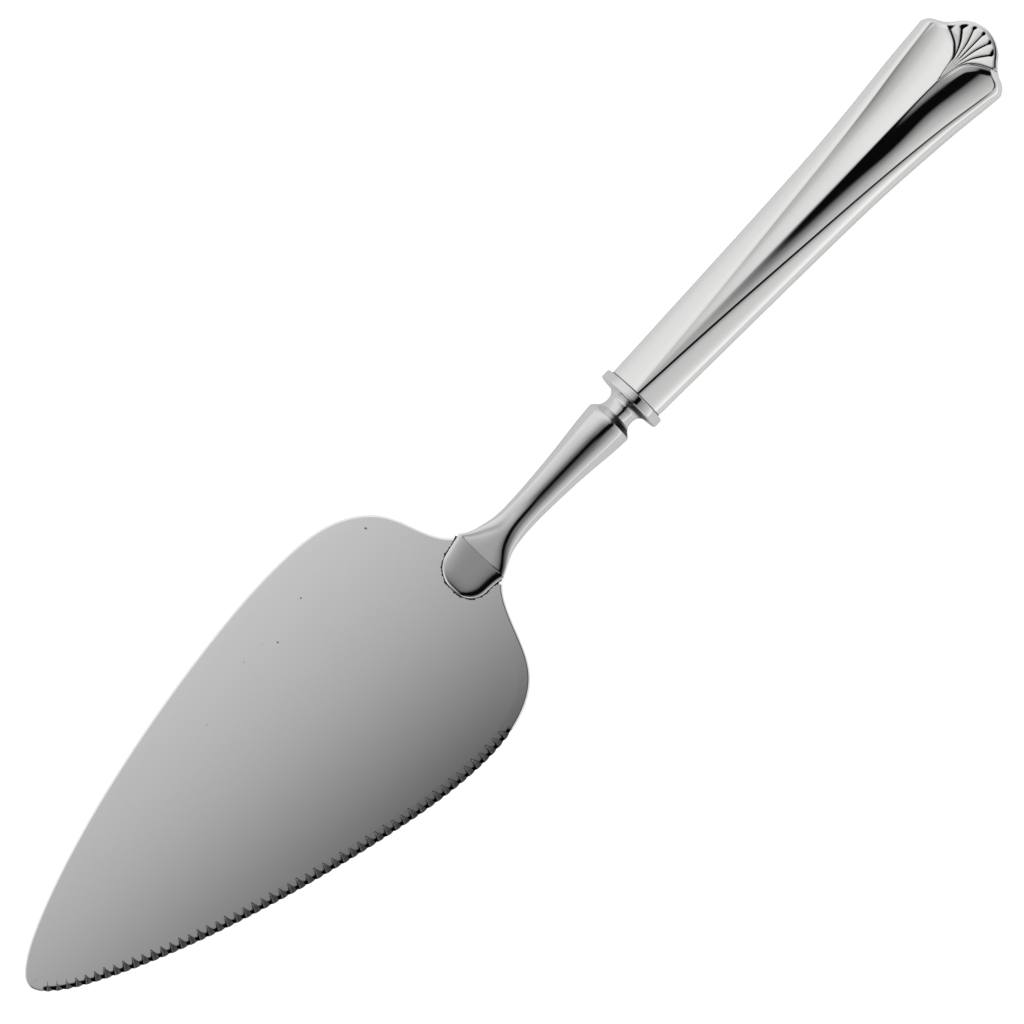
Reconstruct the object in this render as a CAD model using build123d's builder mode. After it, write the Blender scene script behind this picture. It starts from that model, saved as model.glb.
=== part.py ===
from build123d import *
from math import asin, cos, radians, sin, tan
import os

# Placing: X runs from the blade's tip to the handle's end, Z is up, the blade lies on Z = 0
collar_x = 31.59
axis_y = 0.7
collar_z = 10.85
blade_turn = 3.62
handle_roll = 2.2

# Blade: ground sheet steel, measured along its own middle line from the tip
blade_length = 119.2
blade_half_width = 27.5
widest_share = 0.775
blade_side_shares = ((0.0206, 0.133), (0.07, 0.265), (0.195, 0.491), (0.388, 0.74), (0.582, 0.915))
far_heel_shares = ((0.872, 0.94), (0.933, 0.747), (0.962, 0.491))
near_heel_shares = ((0.872, 0.937), (0.933, 0.767), (0.962, 0.516))
tip_pull = 1.0
tail_pull = 1.0
tail_far_side = 7.5
tail_far_flare = 1.8
tail_near_side = 4.5
tail_near_flare = 2.8
tail_root_share = 0.984
heel_thickness = 1.7
tip_thickness = 0.95
crown_radius = 360.0

# Serration: scallops ground into the upper face along one side
tooth_pitch = 1.965
tooth_first = 3.85
tooth_last = 108.2
tooth_half_width = 0.97
tooth_reach = 1.45
tooth_slope = 16.0
tooth_over = 1.3
tooth_cut = 2.0

# Tongue of the shank, lapped on the blade's tail; the neck's length is from collar to tongue
neck_length = 41.6
tongue_length = 8.55
heel_clear = 0.98
heel_side = -2.436
tongue_half_width = 5.85
tongue_far_share = 0.69
tongue_near_share = 0.94
tongue_round = 4.0
tongue_thickness = 1.3
tongue_bevel = 0.55

# Braze between tongue and blade
braze_gap = 0.12
braze_fillet = 0.22
braze_rise = 0.3
braze_lap = 0.8

# Neck of the shank: share of its length, half width, half height, then the middle's side and height
neck_root = 0.3
neck_stations = (
    (0.9688, 5.12, 1.0, -0.26, 2.85),
    (0.8894, 3.83, 1.75, -0.2, 3.75),
    (0.7452, 3.15, 2.3, -0.12, 5.55),
    (0.5529, 3.46, 2.8, -0.05, 7.95),
    (0.3702, 4.07, 3.5, 0.0, 9.85),
    (0.2404, 4.63, 4.3, 0.0, 10.85),
)

# Shoulder, cove and collar, turned about the handle's axis
shoulder_x = -6.7
shoulder_radius = 4.9
shoulder_lip = 0.5
cove_radius = 3.2
cove_start = -4.6
cove_end = -2.2
collar_radius = 7.0
collar_thickness = 1.9
collar_round = 0.6

# Tang inside the handle
tang_share = 0.4668
tang_root_radius = 2.6
tang_tip_radius = 1.7

# Handle: two struck shells joined on the middle plane
handle_length = 98.55
wall = 0.55
touch_back = 1.25
touch_half_height = 4.79
# Section of a shell: share of the length, half width, crease's half width, ridge's height
handle_stations = (
    (0.01015, 6.03, 0.4, 5.35),
    (0.1827, 6.5, 1.55, 5.2),
    (0.4668, 7.33, 3.9, 5.05),
    (0.623, 8.0, 5.3, 4.95),
    (0.7793, 9.25, 7.05, 4.9),
    (0.9234, 10.62, 9.0, 4.85),
    (1.0249, 11.5, 10.1, 4.85),
)
# Flutes are arcs of this radius and turn up a little towards the crease
flute_radius = 21.0
lift_radius = 118.0
border_fall = 0.4
rise_share = 0.62
lean_share = 0.5

# End of the handle in plan, measured back from its tip
corner_back = 7.55
corner_half_width = 10.62
ogee_back = 5.35
ogee_half_width = 8.6
fan_end_back = 2.95
fan_end_half_width = 5.57
fan_radius = 6.94
end_taper = 11.0
rim_width = 1.25
rim_height = 3.95
rim_back = 12.55

# Fan struck on the handle's end, measured back from its tip
fan_root_back = 13.85
fan_side_middle = (8.05, 2.2)
fan_side_end = (5.15, 5.9)
fan_corner = (3.95, 7.8)
fan_floor = 3.75
fan_rim_width = 1.0
fan_rim_height = 4.35
lobe_roots = ((12.55, 0.0), (12.55, 0.05), (13.05, 0.15))
lobe_middles = ((6.95, 0.32), (7.15, 0.95), (7.35, 1.72))
lobe_tips = ((1.25, 1.0), (2.35, 2.95), (3.8, 4.75))
lobe_root_radius = 0.2
lobe_middle_radius = 0.42
lobe_tip_radius = 0.95
lobe_height = 4.75

# Planes derived from the sizes
touch_reach = handle_length - touch_back
pitch = asin((collar_z - touch_half_height) / touch_reach)
roll = radians(handle_roll)
axis_dir = (cos(pitch), 0, -sin(pitch))
side_dir = (-sin(pitch) * sin(roll), cos(roll), -cos(pitch) * sin(roll))
up_dir = (sin(pitch) * cos(roll), sin(roll), cos(pitch) * cos(roll))
handle_plane = Plane(origin=(collar_x, axis_y, collar_z), x_dir=axis_dir, z_dir=up_dir)
handle_side = Plane(origin=handle_plane.origin, x_dir=axis_dir, z_dir=(0, -1, 0))
blade_dir = (cos(radians(blade_turn)), -sin(radians(blade_turn)), 0)
heel = Vector(collar_x - neck_length - heel_clear, axis_y + heel_side, 0)
blade_tip = heel - Vector(*blade_dir) * blade_length
blade_plane = Plane(origin=blade_tip, x_dir=blade_dir, z_dir=(0, 0, 1))
# A point of the crown's axis and the way the upper face rises from tip to heel
crown_axis = blade_plane.from_local_coords((0, 0, tip_thickness - crown_radius))
crown_rise = (heel_thickness - tip_thickness) / blade_length
crown_dir = Vector(*blade_dir) + Vector(0, 0, crown_rise)
crown_plane = Plane(origin=crown_axis, x_dir=(0, 0, -1), z_dir=crown_dir)
tooth_tilt = radians(tooth_slope)


def across(x):
    """A plane square to the handle's axis, x past the collar's middle."""
    return Plane(
        origin=handle_plane.from_local_coords((x, 0, 0)), x_dir=side_dir, z_dir=axis_dir
    )


def tooth_plane(line, reach):
    """The plane of the scallop that lies reach along the line, its foot at the origin."""
    place = reach / line.length
    edge = line @ place
    along = line % place
    top = tip_thickness + crown_rise * edge.X
    top += (crown_radius**2 - edge.Y**2) ** 0.5 - crown_radius
    foot = Vector(edge.X, edge.Y, top - tooth_reach * tan(tooth_tilt))
    rise = Vector(-along.Y, along.X, tan(tooth_tilt))
    return Plane(
        origin=blade_plane.from_local_coords(foot),
        x_dir=blade_plane.from_local_coords(along) - blade_plane.origin,
        z_dir=blade_plane.from_local_coords(rise) - blade_plane.origin,
    )


def lobe_plane(point, way, radius):
    """The plane of a lobe's round section, its top at the lobes' common height."""
    middle = Vector(point.X, point.Y, lobe_height - radius)
    return Plane(
        origin=handle_plane.from_local_coords(middle),
        x_dir=up_dir,
        z_dir=handle_plane.from_local_coords(way) - handle_plane.origin,
    )


# Blade
widest_x = widest_share * blade_length
tail_root_x = tail_root_share * blade_length
far_points = [(s * blade_length, w * blade_half_width) for s, w in blade_side_shares]
far_points.append((widest_x, blade_half_width))
near_points = [(x, -y) for x, y in far_points]
far_points += [(s * blade_length, w * blade_half_width) for s, w in far_heel_shares]
near_points += [(s * blade_length, -w * blade_half_width) for s, w in near_heel_shares]

with BuildSketch(blade_plane) as blade_outline:
    with BuildLine():
        Spline(
            (0, 0),
            *far_points,
            (tail_root_x, tail_far_side + tail_far_flare),
            (blade_length, tail_far_side),
            tangents=((0, 1), (1, -1)),
            tangent_scalars=(tip_pull, tail_pull),
        )
        Line((blade_length, tail_far_side), (blade_length, -tail_near_side))
        serrated_side = Spline(
            (0, 0),
            *near_points,
            (tail_root_x, -tail_near_side - tail_near_flare),
            (blade_length, -tail_near_side),
            tangents=((0, -1), (1, 1)),
            tangent_scalars=(tip_pull, tail_pull),
        )
    make_face()

tooth_depth = tooth_reach * sin(tooth_tilt)
serrated_length = tooth_last - tooth_first
tooth_count = int(serrated_length / tooth_pitch)
tooth_planes = []
for tooth in range(tooth_count):
    tooth_planes.append(tooth_plane(serrated_side, tooth_first + tooth * tooth_pitch))

with BuildPart() as blade:
    add(blade_outline.sketch)
    extrude(amount=heel_thickness * 2)
    with Locations(crown_plane):
        Cylinder(crown_radius, blade_length * 3, mode=Mode.INTERSECT)
    for turn in range(2):
        with BuildSketch(*tooth_planes[turn::2]):
            Polygon(
                (0, 0),
                (tooth_half_width * tooth_over, -tooth_depth * tooth_over),
                (tooth_half_width * tooth_over, -tooth_cut),
                (-tooth_half_width * tooth_over, -tooth_cut),
                (-tooth_half_width * tooth_over, -tooth_depth * tooth_over),
                align=None,
            )
        extrude(amount=tooth_cut, both=True, mode=Mode.SUBTRACT)

# Tongue outline, shared by the shank and the braze under it
tongue_plane = Plane(origin=(collar_x, axis_y, heel_thickness + braze_gap))
tongue_shoulder_x = -neck_length
tongue_tip_x = -neck_length - tongue_length

with BuildSketch(tongue_plane) as tongue_outline:
    with BuildLine():
        Polyline(
            (tongue_tip_x, tongue_half_width * tongue_far_share),
            (tongue_shoulder_x, tongue_half_width),
            (tongue_shoulder_x, -tongue_half_width),
            (tongue_tip_x, -tongue_half_width * tongue_near_share),
            close=True,
        )
    make_face()
    fillet(tongue_outline.vertices().group_by(Axis.X)[0], tongue_round)

# Shank
tang_length = tang_share * handle_length
with BuildPart() as shank:
    add(tongue_outline.sketch)
    extrude(amount=tongue_thickness)
    chamfer(shank.edges().group_by(Axis.Z)[-1].sort_by(Axis.X)[0], tongue_bevel)
    tongue_middle = heel_thickness + braze_gap + tongue_thickness / 2
    with BuildSketch(
        Plane(
            origin=(collar_x - neck_length - neck_root, axis_y, tongue_middle),
            x_dir=(0, 1, 0),
            z_dir=(1, 0, 0),
        )
    ):
        Ellipse(tongue_half_width, tongue_thickness / 2)
    for share, half_width, half_height, side, height in neck_stations:
        station = (collar_x - share * neck_length, axis_y + side, height)
        with BuildSketch(Plane(origin=station, x_dir=(0, 1, 0), z_dir=(1, 0, 0))):
            Ellipse(half_width, half_height)
    with BuildSketch(across(shoulder_x)):
        Circle(shoulder_radius)
    loft()
    with BuildSketch(handle_side) as turned:
        with BuildLine():
            Polyline(
                (shoulder_x, 0),
                (shoulder_x, shoulder_radius),
                (shoulder_x + shoulder_lip, shoulder_radius),
            )
            Spline(
                (shoulder_x + shoulder_lip, shoulder_radius),
                (cove_start, cove_radius + shoulder_lip / 2),
                (cove_end, cove_radius),
                (-collar_thickness / 2, cove_radius + shoulder_lip * 2),
            )
            Polyline(
                (-collar_thickness / 2, cove_radius + shoulder_lip * 2),
                (-collar_thickness / 2, collar_radius),
                (collar_thickness / 2, collar_radius),
                (collar_thickness / 2, tang_root_radius),
                (tang_length, tang_tip_radius),
                (tang_length, 0),
                (shoulder_x, 0),
            )
        make_face()
        fillet(turned.vertices().group_by(Axis.Y)[-1], collar_round)
    revolve(axis=Axis(handle_plane.origin, handle_plane.x_dir))

# Braze: fills the gap and shows as a small fillet round the tongue
with BuildPart() as braze_seam:
    with BuildSketch(tongue_plane):
        add(tongue_outline.sketch_local)
        offset(amount=braze_fillet, kind=Kind.INTERSECTION)
    extrude(amount=-braze_rise)
    with BuildSketch(tongue_plane):
        add(tongue_outline.sketch_local)
        offset(amount=braze_fillet, kind=Kind.INTERSECTION)
        add(tongue_outline.sketch_local, mode=Mode.SUBTRACT)
    extrude(amount=braze_rise)
    with BuildSketch(tongue_plane):
        with Locations((-neck_length - braze_lap, 0)):
            Rectangle(tongue_half_width, tongue_half_width * 4, align=(Align.MIN, Align.CENTER))
    extrude(amount=heel_thickness, both=True, mode=Mode.SUBTRACT)
    with Locations(crown_plane):
        Cylinder(crown_radius, blade_length * 3, mode=Mode.SUBTRACT)


def half_section(share, half_width, crease, ridge, inset):
    """Upper half of the handle's section at a share of its length, inset from its outer face."""
    width = half_width - inset
    top = ridge - inset
    edge = crease * width / half_width
    ridge_slope = edge / flute_radius - edge / lift_radius
    shoulder = top - edge * ridge_slope + edge**2 / flute_radius / 2
    lean = (width - edge) * lean_share
    with BuildSketch(across(share * handle_length)) as section:
        with BuildLine() as line:
            Bezier(
                (width, 0),
                (width, shoulder * rise_share),
                (edge + lean, shoulder - lean * border_fall),
                (edge, shoulder),
            )
            Bezier((edge, shoulder), (edge / 2, top - edge / 2 * ridge_slope), (0, top))
            mirror(line.line, about=Plane.YZ)
            Line((-width, 0), (width, 0))
        make_face()
    return section.sketch


# Plan of the handle's end, larger than the shells on its other sides
side_clear = corner_half_width * 2
corner = (handle_length - corner_back, corner_half_width)
ogee_high = (handle_length - ogee_back, ogee_half_width)
fan_end = (handle_length - fan_end_back, fan_end_half_width)
rim_far = handle_length + rim_width
rim_reach = rim_back + rim_width
with BuildSketch() as end_outline:
    with BuildLine() as end_line:
        fan_arc = RadiusArc((handle_length, 0), fan_end, -fan_radius)
        ogee_arc = TangentArc(fan_end, ogee_high, tangent=fan_arc % 1)
        corner_arc = TangentArc(ogee_high, corner, tangent=ogee_arc % 1)
        corner_way = corner_arc % 1
        flare = (side_clear - corner_half_width) * corner_way.X / corner_way.Y
        Polyline(corner, (corner[0] + flare, side_clear), (0, side_clear), (0, 0))
        mirror(end_line.line, about=Plane.XZ)
    make_face()

with BuildSketch() as end_inner:
    offset(end_outline.sketch, amount=-wall)

with BuildSketch() as rim_outline:
    with Locations((handle_length - rim_back, 0)):
        Rectangle(rim_reach, corner_half_width * 2, align=(Align.MIN, Align.CENTER))
    offset(end_outline.sketch, amount=-rim_width, mode=Mode.SUBTRACT)

fan_points = []
for back, half_width in ((fan_root_back, 0), fan_side_middle, fan_side_end, fan_corner):
    fan_points.append((handle_length - back, half_width))

with BuildSketch() as fan_outline:
    with BuildLine() as fan_line:
        ThreePointArc(*fan_points[:3])
        Polyline(*fan_points[2:], (rim_far, fan_corner[1]), (rim_far, 0))
        mirror(fan_line.line, about=Plane.XZ)
    make_face()

with BuildSketch() as fan_rim:
    add(fan_outline.sketch)
    offset(end_outline.sketch, amount=-fan_rim_width, mode=Mode.SUBTRACT)


def level(height):
    """The handle's plan plane raised by height."""
    return handle_plane.offset(height)


# Hollow of one shell
with BuildPart() as hollow:
    for share, half_width, crease, ridge in handle_stations:
        add(half_section(share, half_width, crease, ridge, wall))
    loft()
    with BuildSketch(level(0)):
        add(end_inner.sketch)
    extrude(amount=collar_radius, taper=end_taper, mode=Mode.INTERSECT)
    with BuildSketch(level(fan_floor - wall)):
        offset(fan_outline.sketch, amount=wall)
    extrude(amount=side_clear, mode=Mode.SUBTRACT)

# Raised rim round the end and the fan inside it
with BuildPart() as fan:
    with BuildSketch(level(0)):
        add(rim_outline.sketch)
    extrude(amount=rim_height)
    with BuildSketch(level(0)):
        add(fan_outline.sketch)
    extrude(amount=fan_floor)
    with BuildSketch(level(0)):
        add(fan_rim.sketch)
    extrude(amount=fan_rim_height)
    with BuildSketch(level(0)):
        add(end_outline.sketch)
    extrude(amount=collar_radius, taper=end_taper, mode=Mode.INTERSECT)
    for side in (1, -1):
        for root, middle, tip in zip(lobe_roots, lobe_middles, lobe_tips):
            root_point = Vector(handle_length - root[0], root[1] * side)
            middle_point = Vector(handle_length - middle[0], middle[1] * side)
            tip_point = Vector(handle_length - tip[0], tip[1] * side)
            with BuildSketch(lobe_plane(root_point, middle_point - root_point, lobe_root_radius)):
                Circle(lobe_root_radius)
            with BuildSketch(lobe_plane(middle_point, tip_point - root_point, lobe_middle_radius)):
                Circle(lobe_middle_radius)
            with BuildSketch(lobe_plane(tip_point, tip_point - middle_point, lobe_tip_radius)):
                Circle(lobe_tip_radius)
            loft()

# Upper shell
with BuildPart() as handle_front:
    for share, half_width, crease, ridge in handle_stations:
        add(half_section(share, half_width, crease, ridge, 0))
    loft()
    with BuildSketch(level(0)):
        add(end_outline.sketch)
    extrude(amount=collar_radius, taper=end_taper, mode=Mode.INTERSECT)
    with BuildSketch(level(fan_floor)):
        add(fan_outline.sketch)
    extrude(amount=side_clear, mode=Mode.SUBTRACT)
    add(fan.part)
    add(hollow.part, mode=Mode.SUBTRACT)

# Lower shell, struck to match
with BuildPart() as handle_back:
    mirror(handle_front.part, about=handle_plane)

# Cement, cast round the tang
with BuildPart() as handle_filler:
    add(hollow.part)
    mirror(hollow.part, about=handle_plane)
    add(shank.part, mode=Mode.SUBTRACT)

os.makedirs("parts", exist_ok=True)
blade.part.label = "blade"
export_step(blade.part, "parts/blade.step")
shank.part.label = "shank"
export_step(shank.part, "parts/shank.step")
braze_seam.part.label = "braze_seam"
export_step(braze_seam.part, "parts/braze_seam.step")
handle_front.part.label = "handle_front"
export_step(handle_front.part, "parts/handle_front.step")
handle_back.part.label = "handle_back"
export_step(handle_back.part, "parts/handle_back.step")
handle_filler.part.label = "handle_filler"
export_step(handle_filler.part, "parts/handle_filler.step")
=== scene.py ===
import bmesh
import bpy
import numpy as np
from math import asin, cos, radians, sin, tau
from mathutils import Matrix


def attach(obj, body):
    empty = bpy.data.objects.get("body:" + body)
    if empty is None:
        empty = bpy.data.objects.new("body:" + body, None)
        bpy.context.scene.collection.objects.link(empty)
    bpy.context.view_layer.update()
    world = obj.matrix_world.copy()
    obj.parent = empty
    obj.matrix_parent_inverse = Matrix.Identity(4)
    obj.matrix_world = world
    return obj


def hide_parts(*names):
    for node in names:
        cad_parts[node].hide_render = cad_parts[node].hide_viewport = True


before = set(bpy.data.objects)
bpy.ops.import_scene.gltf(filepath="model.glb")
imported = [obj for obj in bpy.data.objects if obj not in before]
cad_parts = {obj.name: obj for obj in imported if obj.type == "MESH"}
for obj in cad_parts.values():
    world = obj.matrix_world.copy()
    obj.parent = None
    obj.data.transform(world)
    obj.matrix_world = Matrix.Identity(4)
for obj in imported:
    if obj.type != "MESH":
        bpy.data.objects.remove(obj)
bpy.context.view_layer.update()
print("frame loaded")

# Where things lie, in mm and degrees: X from the blade's tip to the handle's end, Z up
placing = {
    "collarX": 31.59,
    "axisY": 0.7,
    "collarZ": 10.85,
    "handleLength": 98.55,
    # reach along the handle where it touches the table, and its half height there
    "touchReach": 97.3,
    "touchHalfHeight": 4.79,
    "bladeTurn": 3.62,
    "handleRoll": 2.2,
    "bladeLength": 119.2,
    "neckLength": 41.6,
    # how far the blade's heel lies past the neck's end, and to the side
    "heelClear": 0.98,
    "heelSide": -2.436,
}
pitch = asin((placing["collarZ"] - placing["touchHalfHeight"]) / placing["touchReach"])
handleOrigin = np.array([placing["collarX"], placing["axisY"], placing["collarZ"]])
roll = radians(placing["handleRoll"])
handleAxes = np.array([
    [cos(pitch), 0, -sin(pitch)],
    [-sin(pitch) * sin(roll), cos(roll), -cos(pitch) * sin(roll)],
    [sin(pitch) * cos(roll), sin(roll), cos(pitch) * cos(roll)],
])
flatAxes = np.eye(3)
flatOrigin = handleOrigin * [1, 1, 0]
turn = radians(placing["bladeTurn"])
bladeAxes = np.array([[cos(turn), -sin(turn), 0], [sin(turn), cos(turn), 0], [0, 0, 1]])
heel = flatOrigin + [-placing["neckLength"] - placing["heelClear"], placing["heelSide"], 0]
bladeOrigin = heel - bladeAxes[0] * placing["bladeLength"]

# In metres: one mm, and how close points lie that become one
mm = 0.001
mergeReach = 2e-7


# Numbers and meshes

def through(knots, values, at, firstSlope=None, lastSlope=None):
    # cubic spline: the second slopes solve gap*m0 + 2(gap+gap')*m1 + gap'*m2 = 6 * change of slope
    knots = np.asarray(knots, float)
    values = np.asarray(values, float).reshape(len(knots), -1)
    at = np.asarray(at, float)
    gap = np.diff(knots)[:, None]
    slope = np.diff(values, axis=0) / gap
    last = len(knots) - 1
    system = np.eye(last + 1)
    change = np.zeros_like(values)
    for k in range(1, last):
        system[k, k - 1:k + 2] = gap[k - 1, 0], 2 * (gap[k - 1, 0] + gap[k, 0]), gap[k, 0]
        change[k] = 6 * (slope[k] - slope[k - 1])
    if firstSlope is not None:
        system[0, :2] = 2 * gap[0, 0], gap[0, 0]
        change[0] = 6 * (slope[0] - firstSlope)
    if lastSlope is not None:
        system[last, last - 1:] = gap[-1, 0], 2 * gap[-1, 0]
        change[last] = 6 * (np.asarray(lastSlope) - slope[-1])
    bend = np.linalg.solve(system, change)
    spot = np.clip(np.searchsorted(knots, at) - 1, 0, last - 1)
    a = (knots[spot + 1] - at)[..., None] / gap[spot]
    b = 1 - a
    out = a * values[spot] + b * values[spot + 1]
    out += ((a**3 - a) * bend[spot] + (b**3 - b) * bend[spot + 1]) * gap[spot]**2 / 6
    return out[..., 0] if out.shape[-1] == 1 else out


def smoothStep(x, low, high):
    # 3s^2 - 2s^3, s running 0..1 from low to high
    s = np.clip((x - low) / (high - low), 0, 1)
    return s * s * (3 - 2 * s)


def toLine(x, y, line):
    # distance from each point to the nearest of a polyline's segments
    best = np.full(x.shape, 1e9)
    for p, q in zip(line[:-1], line[1:]):
        d = q - p
        s = np.clip(((x - p[0]) * d[0] + (y - p[1]) * d[1]) / (d @ d), 0, 1)
        best = np.minimum(best, np.hypot(x - p[0] - s * d[0], y - p[1] - s * d[1]))
    return best


def runLength(line):
    # distance along a polyline at each of its points
    return np.r_[0, np.cumsum(np.hypot(*np.diff(line, axis=0).T))]


def evenPoints(line, count):
    # count points at equal distances along a line: the distance, the point, the way to its right
    passed = runLength(line)
    at = np.linspace(0, passed[-1], count)
    points = np.stack([np.interp(at, passed, line[:, 0]), np.interp(at, passed, line[:, 1])], axis=-1)
    ahead = np.gradient(points, axis=0)
    ahead /= np.linalg.norm(ahead, axis=1)[:, None]
    return at, points, np.stack([ahead[:, 1], -ahead[:, 0]], axis=-1)


def gridFaces(ids, loop=False):
    # one quad for each cell of a grid of vertex numbers, its columns closed into a ring if loop
    if loop:
        ids = np.hstack([ids, ids[:, :1]])
    return np.stack([ids[:-1, :-1], ids[1:, :-1], ids[1:, 1:], ids[:-1, 1:]], axis=-1).reshape(-1, 4)


def tubeFaces(rows, around, capped):
    # quads round a stack of rings, and a cap on each of the capped rings
    ids = np.arange(rows * around).reshape(rows, around)
    return gridFaces(ids, loop=True).tolist() + [ids[ring].tolist() for ring in capped]


def makePiece(name, points, faces, origin, axes, material, nodes, values=None):
    # points in mm of the piece's own frame go to the room as origin + x*axes[0] + y*axes[1] + z*axes[2]
    placed = (origin + points.reshape(-1, 3) @ axes) * mm
    mesh = bpy.data.meshes.new(name)
    mesh.from_pydata(placed.tolist(), [], faces)
    for label, numbers in (values or {}).items():
        layer = mesh.attributes.new(label, "FLOAT", "POINT")
        layer.data.foreach_set("value", np.ascontiguousarray(numbers, np.float32).ravel())
    mesh.update()
    piece = bpy.data.objects.new(name, mesh)
    bpy.context.scene.collection.objects.link(piece)
    shell = bmesh.new()
    shell.from_mesh(mesh)
    bmesh.ops.remove_doubles(shell, verts=shell.verts, dist=mergeReach)
    bmesh.ops.dissolve_degenerate(shell, edges=shell.edges, dist=mergeReach / 2)
    bmesh.ops.recalc_face_normals(shell, faces=shell.faces)
    shell.to_mesh(mesh)
    shell.free()
    mesh.shade_smooth()
    mesh.materials.append(material)
    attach(piece, "root")
    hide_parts(*nodes)
    print(name, len(mesh.polygons), "faces")


# Materials

def toLinear(code):
    # sRGB hex to linear light
    parts = [int(code[k:k + 2], 16) / 255 for k in (1, 3, 5)]
    return [p / 12.92 if p <= 0.04045 else ((p + 0.055) / 1.055)**2.4 for p in parts] + [1]


def addNode(tree, kind, settings=None, links=None):
    # a node with its properties, then its inputs: a number or colour is set, a socket is linked
    node = tree.nodes.new(kind)
    for key, value in (settings or {}).items():
        setattr(node, key, value)
    for key, value in (links or {}).items():
        if isinstance(value, bpy.types.NodeSocket):
            tree.links.new(value, node.inputs[key])
        else:
            node.inputs[key].default_value = value
    return node


def newMaterial(name):
    material = bpy.data.materials.new(name)
    material.use_nodes = True
    material.node_tree.nodes.clear()
    return material, material.node_tree


# Sterling silver, struck and buffed: a clean mirror, hair scratches from use, and the dark
# sulphide that stays in the fan's grooves when the rest is polished; the same dark is painted
# shade in the groove by the collar
silverLook = {
    "metal": "#F3F3F2",
    "dark": "#141415",
    # roughness where it is buffed, where hands have worn it, and of the sulphide and the painted shade
    "rough": 0.03,
    "wornRough": 0.06,
    "darkRough": 0.5,
    # scratches: width in mm, length by width, turn in degrees, depth in metres
    "scratchPitch": 0.3,
    "scratchStretch": 40,
    "scratchTurn": 8,
    "scratchDepth": 0.00000025,
}


def buffedSilver():
    material, tree = newMaterial("buffedSterlingSilver")
    place = addNode(tree, "ShaderNodeTexCoord").outputs["Object"]
    # the attribute: dark sulphide in the fan's grooves, and painted shade in the groove by the collar
    tarnishAndShade = addNode(tree, "ShaderNodeAttribute", {"attribute_name": "tarnishAndShade"}).outputs["Fac"]
    # a scratch is scratchPitch mm wide and scratchStretch times as long, near the handle's length
    wide = silverLook["scratchPitch"] * mm
    along = addNode(tree, "ShaderNodeMapping", {"vector_type": "TEXTURE"}, {
        "Vector": place,
        "Rotation": (0, 0, radians(silverLook["scratchTurn"])),
        "Scale": (silverLook["scratchStretch"] * wide, wide, wide),
    })
    lines = addNode(tree, "ShaderNodeTexNoise", {}, {
        "Vector": along.outputs[0], "Scale": 1.0, "Detail": 3.0})
    # handling wears patches about 6 mm wide
    clouds = addNode(tree, "ShaderNodeTexNoise", {}, {"Vector": place, "Scale": 160.0, "Detail": 3.0})
    clean = addNode(tree, "ShaderNodeMapRange", {}, {
        0: clouds.outputs[0], 3: silverLook["rough"], 4: silverLook["wornRough"]})
    rough = addNode(tree, "ShaderNodeMapRange", {}, {
        0: tarnishAndShade, 3: clean.outputs[0], 4: silverLook["darkRough"]})
    colour = addNode(tree, "ShaderNodeMix", {"data_type": "RGBA"}, {
        0: tarnishAndShade, 6: toLinear(silverLook["metal"]), 7: toLinear(silverLook["dark"])})
    bump = addNode(tree, "ShaderNodeBump", {}, {
        "Strength": 0.5, "Distance": silverLook["scratchDepth"], "Height": lines.outputs[0]})
    shader = addNode(tree, "ShaderNodeBsdfPrincipled", {}, {
        "Base Color": colour.outputs[2],
        "Metallic": 1.0,
        "Roughness": rough.outputs[0],
        "Normal": bump.outputs[0],
    })
    addNode(tree, "ShaderNodeOutputMaterial", {}, {0: shader.outputs[0]})
    return material


# Stainless steel, rolled and satin polished: softer than the silver, very fine lines from the
# belt, a few dark pits where the grain has corroded, and painted shade in the pressed notches and
# in the shank's groove and cove corners
steelLook = {
    "blade": "#FEFEFF",
    "shank": "#E6E6E7",
    "dark": "#0B0B0C",
    # roughness from line to line on the two pieces, and of what is dark: the pits and the painted shade
    "bladeRough": (0.1, 0.14),
    "shankRough": (0.05, 0.08),
    "darkRough": 0.42,
    # belt lines: width in mm, length by width, turn in degrees, depth in metres
    "linePitch": 0.45,
    "lineStretch": 60,
    "lineTurn": 24,
    "lineDepth": 0.0000006,
    # the blade's pits: place from the middle of the object and radius, in mm
    "pits": (
        (-21.7, 20.2, 0.15), (-40.0, 19.9, 0.11), (-49.2, 17.2, 0.11),
        (-51.5, 19.0, 0.05), (-56.5, 19.25, 0.05), (-70.1, 16.0, 0.06),
    ),
    "pitTone": 0.85,
}


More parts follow.
